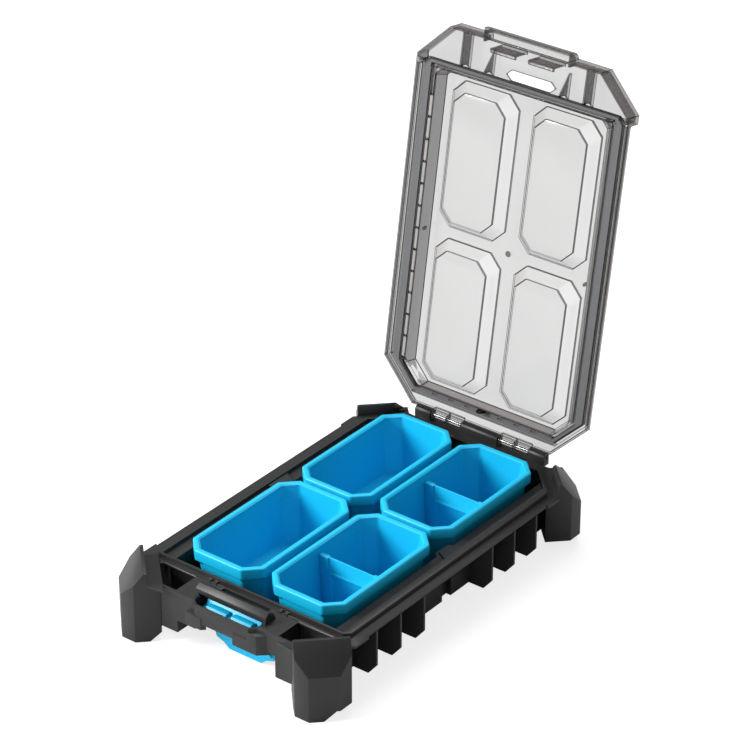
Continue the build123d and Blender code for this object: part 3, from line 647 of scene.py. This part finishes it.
@dataclass
class Lid(SubAssembly):
    """The clear lid, open past upright. Its small pieces are sized in millimetres on the closed lid."""

    edge: float = 0.6 * MM
    # The wall and edge materials carry painted shade, and the block material painted light, on copies of the one
    # smoke-tinted plastic.
    wall_shade_material: bpy.types.Material | None = None
    edge_shade_material: bpy.types.Material | None = None
    block_light_material: bpy.types.Material | None = None
    mark_material: bpy.types.Material | None = None
    blocks_half_x: float = 102.0
    blocks_half_y: float = 174.0
    wall_below: float = 0.8
    middle_y: float = 18.0
    mark_pitch: float = 25.4
    marks: int = 12
    plate_x: tuple[float, float] = (-113.9, -110.3)
    plate_z: tuple[float, float] = (73.0, 73.5)
    plate_gap: float = 1.6
    plate_inset: float = 0.5
    plate_crown: float = 0.2
    plate_edge: float = 0.1
    tab_low: tuple[float, float, float] = (-5.5, 196.2, 65.5)
    tab_high: tuple[float, float, float] = (5.5, 198.6, 73.6)
    tab_narrowing: float = 0.55
    tab_rim: float = 1.7
    tab_edge: float = 0.5
    gate_radius: float = 3.4
    gate_foot_z: float = 86.4
    gate_height: float = 0.6
    gate_rim: float = 0.9
    gate_dish: float = 0.35
    gate_edge: float = 0.12
    gate_sides: int = 32
    stud_radius: float = 1.1
    stud_foot: tuple[float, float, float] = (-66.0, 199.0, 71.9)
    stud_height: float = 1.6
    stud_rim: float = 0.35
    stud_tip: float = 0.3
    stud_edge: float = 0.15
    stud_sides: int = 20
    stud_pitch: float = 22.0
    studs: int = 7
    stop_x: float = 105.9
    stop_z: float = 78.0
    stop_half: tuple[float, float, float] = (0.9, 2.4, 3.2)
    stop_narrowing: float = 0.6
    stop_edge: float = 0.4

    def __post_init__(self) -> None:
        """Reads the hinge's place and the open angle from the frame."""
        hinge = next(joint for joint in frame["joints"] if joint["name"] == "lid_hinge")
        self.hinge = Vector(hinge["pos_m"])
        self.turn = math.radians(hinge["range_deg"][1])
        self.body = body_of_node("lid")

    def build(self) -> None:
        """Builds the moulding and its small pieces."""
        self.build_moulding()
        self.build_ruler()
        self.build_tab()
        self.build_gate_mark()
        self.build_hinge_studs()
        self.build_rail_stops()

    def kind(self, face: bpy.types.MeshPolygon) -> LidFace:
        """Sorts one face of the moulding.

        Args:
            face: The face, on the open lid.

        Returns:
            Sheet, wall or block wall.
        """
        up = Vector((0.0, math.sin(self.turn), math.cos(self.turn)))
        if abs(face.normal.dot(up)) > self.wall_below:
            return LidFace.SHEET
        closing = Matrix.Rotation(self.turn, 4, "X")
        place = (closing @ (face.center - self.hinge) + self.hinge) / MM
        on_block = abs(place.x) < self.blocks_half_x and abs(place.y - self.middle_y) < self.blocks_half_y
        return LidFace.BLOCK_WALL if on_block else LidFace.WALL

    def build_moulding(self) -> None:
        """Gives the faces their materials and rounds the edges, which take the darkest one. The walls take painted
        shade, darker and more solid than the sheet, and the walls among the blocks take painted light, paler and
        clearer; the darkest, on the rounded edges, is a near black painted shade. The smoke tint beneath is the
        plastic's own.
        """
        piece = self.stand_in("lid")
        for material in (self.material, self.wall_shade_material, self.edge_shade_material, self.block_light_material):
            piece.data.materials.append(material)
        for face in piece.data.polygons:
            face.material_index = self.kind(face)
        Bench.round_edges(piece, self.edge, slot=LidFace.EDGE)
        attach(piece, self.body)
        self.made.append(piece)

    def open_up(self, piece: bpy.types.Object, material: bpy.types.Material) -> None:
        """Swings a piece made on the closed lid to its place on the open one, and dresses it.

        Args:
            piece: The piece.
            material: Its material.
        """
        swing = Matrix.Rotation(-self.turn, 4, "X")
        piece.rotation_euler = swing.to_euler()
        piece.location = self.hinge - swing @ self.hinge
        Bench.settle(piece)
        self.dress(piece, self.body)
        piece.material_slots[0].material = material

    @staticmethod
    def reshape_foot(piece: bpy.types.Object, inset: float, rise: float) -> None:
        """Insets a piece's lower face and moves the inner part.

        Args:
            piece: The piece.
            inset: Width of the rim that stays, in millimetres.
            rise: How far the inner part moves up, in millimetres.
        """
        Bench.choose_faces(piece, looks_down)
        bpy.ops.mesh.inset(thickness=inset * MM, depth=0.0)
        bpy.ops.transform.translate(value=(0.0, 0.0, rise * MM))
        Bench.leave()

    @staticmethod
    def narrow_foot(piece: bpy.types.Object, along_x: float, along_y: float) -> None:
        """Scales a piece's lower face about its middle.

        Args:
            piece: The piece whose foot is scaled.
            along_x: Factor along x.
            along_y: Factor along y.
        """
        Bench.choose_faces(piece, looks_down)
        bpy.ops.transform.resize(value=(along_x, along_y, 1.0))
        Bench.leave()

    def build_ruler(self) -> None:
        """Lays the raised plates of the ruled strip between its marks."""
        start = self.middle_y - self.mark_pitch * self.marks / 2 + self.plate_gap
        end = start + self.mark_pitch - 2 * self.plate_gap
        (left, right), (foot, top) = self.plate_x, self.plate_z
        first = Bench.block("ruler_plate_1", Vector((left, start, foot)) * MM, Vector((right, end, top)) * MM)
        self.reshape_foot(first, self.plate_inset, -self.plate_crown)
        Bench.round_edges(first, self.plate_edge * MM, 1)
        for plate in Bench.row(first, "ruler_plate", self.marks, Vector((0.0, self.mark_pitch * MM, 0.0))):
            self.open_up(plate, self.mark_material)

    def build_tab(self) -> None:
        """Stands the pierced tab on the inside, near the hinge."""
        tab = Bench.block("hinge_side_tab", Vector(self.tab_low) * MM, Vector(self.tab_high) * MM)
        self.narrow_foot(tab, self.tab_narrowing, 1.0)
        Bench.choose_faces(tab, looks_along_y)
        bpy.ops.mesh.inset(thickness=self.tab_rim * MM, depth=0.0)
        bpy.ops.mesh.bridge_edge_loops()
        Bench.leave()
        Bench.round_edges(tab, self.tab_edge * MM)
        # The tab takes the near black painted shade of the lid's edges.
        self.open_up(tab, self.edge_shade_material)

    def build_gate_mark(self) -> None:
        """Adds the dished gate mark at the middle."""
        foot = Vector((0.0, self.middle_y, self.gate_foot_z)) * MM
        gate = Bench.stud("gate_mark", self.gate_radius * MM, foot, self.gate_height * MM, self.gate_sides)
        self.reshape_foot(gate, self.gate_rim, self.gate_dish)
        Bench.round_edges(gate, self.gate_edge * MM)
        # The gate mark takes the walls' painted shade.
        self.open_up(gate, self.wall_shade_material)

    def build_hinge_studs(self) -> None:
        """Adds the row of small studs along the hinge side."""
        foot = Vector(self.stud_foot) * MM
        radius, height = self.stud_radius * MM, self.stud_height * MM
        first = Bench.stud("hinge_stud_1", radius, foot, height, self.stud_sides)
        self.reshape_foot(first, self.stud_rim, -self.stud_tip)
        for stud in Bench.row(first, "hinge_stud", self.studs, Vector((self.stud_pitch * MM, 0.0, 0.0))):
            Bench.round_edges(stud, self.stud_edge * MM)
            # The studs take the walls' painted shade.
            self.open_up(stud, self.wall_shade_material)

    def build_rail_stops(self) -> None:
        """Adds the small stops on the inner side walls, half way along."""
        for number, side in enumerate((-1, 1)):
            middle = Vector((side * self.stop_x, self.middle_y, self.stop_z))
            reach = Vector(self.stop_half)
            stop = Bench.block(f"rail_stop_{number + 1}", (middle - reach) * MM, (middle + reach) * MM)
            self.narrow_foot(stop, 1.0, self.stop_narrowing)
            Bench.round_edges(stop, self.stop_edge * MM)
            # The stops take the walls' painted shade.
            self.open_up(stop, self.wall_shade_material)


@dataclass
class Bins(SubAssembly):
    """The four bins, the two dividers and the lever. The webs are sized in millimetres."""

    edge: float = 0.5 * MM
    bin_steps: int = 3
    rim_foot: float = 73.5
    rim_overhang: float = 5.2
    corner_inset: float = 21.0
    web_reach: float = 3.8
    web_root: float = 0.15
    web_taper: float = 0.85
    web_drop: float = 5.5
    web_half: float = 0.9
    web_edge: float = 0.25

    def build(self) -> None:
        """Rounds the edges of the bins, dividers and lever, and adds the bins' webs."""
        for node in sorted(frame["nodes"]):
            if node.startswith("bin_"):
                self.soften(node, self.edge, self.bin_steps)
                self.build_webs(node)
            if node.startswith("divider_"):
                self.soften(node, self.edge)
        self.soften("stack_lever", self.edge)

    def web(self, name: str, foot: Vector, out: Vector) -> bpy.types.Object:
        """Makes one small web under a bin's rim, deep at the rim and thin at its foot.

        Args:
            name: Name of the piece.
            foot: Place on the wall under the rim, in millimetres.
            out: Direction away from the wall, scaled to the reach of the web.

        Returns:
            The web.
        """
        across = Vector((self.web_half if out.y else 0.0, self.web_half if out.x else 0.0, 0.0))
        corners = (foot - across - out * self.web_root, foot + across + out)
        low = Vector([min(pair) for pair in zip(*corners)]) - Vector((0.0, 0.0, self.web_drop))
        high = Vector([max(pair) for pair in zip(*corners)])
        web = Bench.block(name, low * MM, high * MM)
        Bench.choose_faces(web, looks_down)
        bpy.ops.transform.translate(value=tuple(out * (-self.web_taper * MM)))
        Bench.leave()
        Bench.round_edges(web, self.web_edge * MM)
        return web

    def build_webs(self, node: str) -> None:
        """Adds the webs under the rim of one bin, two to a side.

        Args:
            node: Name of the bin.
        """
        shown = frame["nodes"][node]
        corners = [shown.matrix_world @ Vector(corner) for corner in shown.bound_box]
        low = Vector([min(part) for part in zip(*corners)]) / MM
        high = Vector([max(part) for part in zip(*corners)]) / MM
        middle, half = (low + high) / 2, (high - low) / 2
        wall_x, wall_y = half.x - self.rim_overhang, half.y - self.rim_overhang
        end_x, end_y = half.x - self.corner_inset, half.y - self.corner_inset
        number = 0
        for side in (-1, 1):
            for place in (-1, 1):
                reach = side * self.web_reach
                on_side = Vector((side * wall_x, place * end_y, 0.0)), Vector((reach, 0.0, 0.0))
                on_end = Vector((place * end_x, side * wall_y, 0.0)), Vector((0.0, reach, 0.0))
                for spot, out in (on_side, on_end):
                    number += 1
                    foot = Vector((middle.x, middle.y, self.rim_foot)) + spot
                    self.dress(self.web(f"{node}_web_{number}", foot, out), body_of_node(node))


@dataclass
class Trim(SubAssembly):
    """CAD nodes that keep their shape and take a finish."""

    nodes: tuple[str, ...] = ()

    def build(self) -> None:
        """Paints each node."""
        for node in self.nodes:
            self.paint(node)


@dataclass
class Studio:
    """Floor, backdrop light and camera."""

    floor_half: float = 6.0
    floor_white: float = 0.86
    floor_seen: float = 0.38
    floor_lift: float = 0.78
    floor_rough: float = 0.9
    world_light: float = 0.34
    aim: tuple[float, float, float] = (0.0, 0.0, 0.15)
    key_place: tuple[float, float, float] = (-2.2, -2.1, 1.8)
    key_size: float = 1.5
    key_power: float = 185.0
    top_place: tuple[float, float, float] = (-0.5, 0.9, 2.8)
    top_size: float = 1.4
    top_power: float = 45.0
    sensor: float = 36.0
    lens: float = 157.57
    place: tuple[float, float, float] = (1.7997, -2.2826, 1.9072)
    turn: tuple[float, float, float] = (60.3228, -0.0408, 37.8596)

    def seen(self, sheet: NodeSheet) -> Value:
        """Mask of the rays that see the background: camera and transmission.

        Args:
            sheet: The node tree that gets the mask.

        Returns:
            The mask, 1 for those rays and 0 for the others.
        """
        rays = sheet.node("ShaderNodeLightPath")
        camera, through = sheet.value(rays, "Is Camera Ray"), sheet.value(rays, "Is Transmission Ray")
        made = sheet.node("ShaderNodeMath", {"operation": "MAXIMUM"}, {0: camera, 1: through})
        return sheet.value(made)

    def build_floor(self) -> None:
        """Makes the pale floor."""
        Bench.deselect()
        bpy.ops.mesh.primitive_plane_add(size=2 * self.floor_half, location=(0, 0, 0))
        floor = bpy.context.object
        floor.name = "floor"
        material = bpy.data.materials.new("floor_white_paper")
        sheet = NodeSheet(material)
        paper = sheet.node("ShaderNodeBsdfPrincipled", None, {
            "Base Color": sheet.blend(self.seen(sheet), grey(self.floor_white), grey(self.floor_seen)),
            "Roughness": self.floor_rough,
            "Specular IOR Level": 0.0,
            "Emission Color": sheet.blend(self.seen(sheet), grey(0.0), grey(self.floor_lift)),
            "Emission Strength": 1.0,
        })
        sheet.node("ShaderNodeOutputMaterial", None, {"Surface": paper.outputs[0]})
        floor.data.materials.append(material)

    def build_world(self) -> None:
        """Lights the scene evenly, with a white backdrop."""
        world = bpy.data.worlds.new("studio_white")
        sheet = NodeSheet(world)
        sky = sheet.node("ShaderNodeBackground", None, {
            "Color": sheet.blend(self.seen(sheet), grey(self.world_light), grey(1.0)),
            "Strength": 1.0,
        })
        sheet.node("ShaderNodeOutputWorld", None, {"Surface": sky.outputs[0]})
        bpy.context.scene.world = world

    def build_lamp(self, name: str, place: Vector, size: float, power: float) -> None:
        """Adds one soft square lamp that looks at the organizer.

        Args:
            name: Name of the lamp.
            place: Where it hangs.
            size: Its side.
            power: Its power in watts.
        """
        Bench.deselect()
        bpy.ops.object.light_add(type="AREA", location=place)
        lamp = bpy.context.object
        lamp.name = name
        lamp.data.shape = "SQUARE"
        lamp.data.size = size
        lamp.data.energy = power
        lamp.rotation_euler = (Vector(self.aim) - place).to_track_quat("-Z", "Y").to_euler()

    def build_camera(self) -> None:
        """Sets the camera where the photograph was taken from."""
        Bench.deselect()
        bpy.ops.object.camera_add(location=self.place, rotation=[math.radians(angle) for angle in self.turn])
        camera = bpy.context.object
        camera.data.lens = self.lens
        camera.data.sensor_width = self.sensor
        bpy.context.scene.camera = camera

    def build(self) -> None:
        """Builds the whole studio."""
        self.build_floor()
        self.build_world()
        self.build_lamp("key_lamp", Vector(self.key_place), self.key_size, self.key_power)
        self.build_lamp("top_lamp", Vector(self.top_place), self.top_size, self.top_power)
        self.build_camera()
        bpy.context.scene.view_settings.view_transform = "Standard"


def main() -> None:
    """Builds the sub-assemblies in order."""
    logging.basicConfig(level=logging.INFO)
    groups = [
        Case(CASE_PLASTIC.make(), CASE_PLASTIC),
        Lid(
            LID_SHEET.make(), LID_SHEET, wall_shade_material=LID_WALL_SHADE.make(),
            edge_shade_material=LID_EDGE_SHADE.make(), block_light_material=LID_BLOCK_LIGHT.make(), mark_material=LID_MARK.make()),
        Bins(BIN_PLASTIC.make(), BIN_PLASTIC),
        Trim(SEAL.make(), SEAL, nodes=("lid_gasket",)),
        Trim(STEEL.make(), STEEL, nodes=("hinge_pin_left", "hinge_pin_right", "lever_pin")),
    ]
    for group in groups:
        group.build()
        log.info("%s built with %d pieces", type(group).__name__, len(group.made))
    Studio().build()


if __name__ == "__main__":
    main()
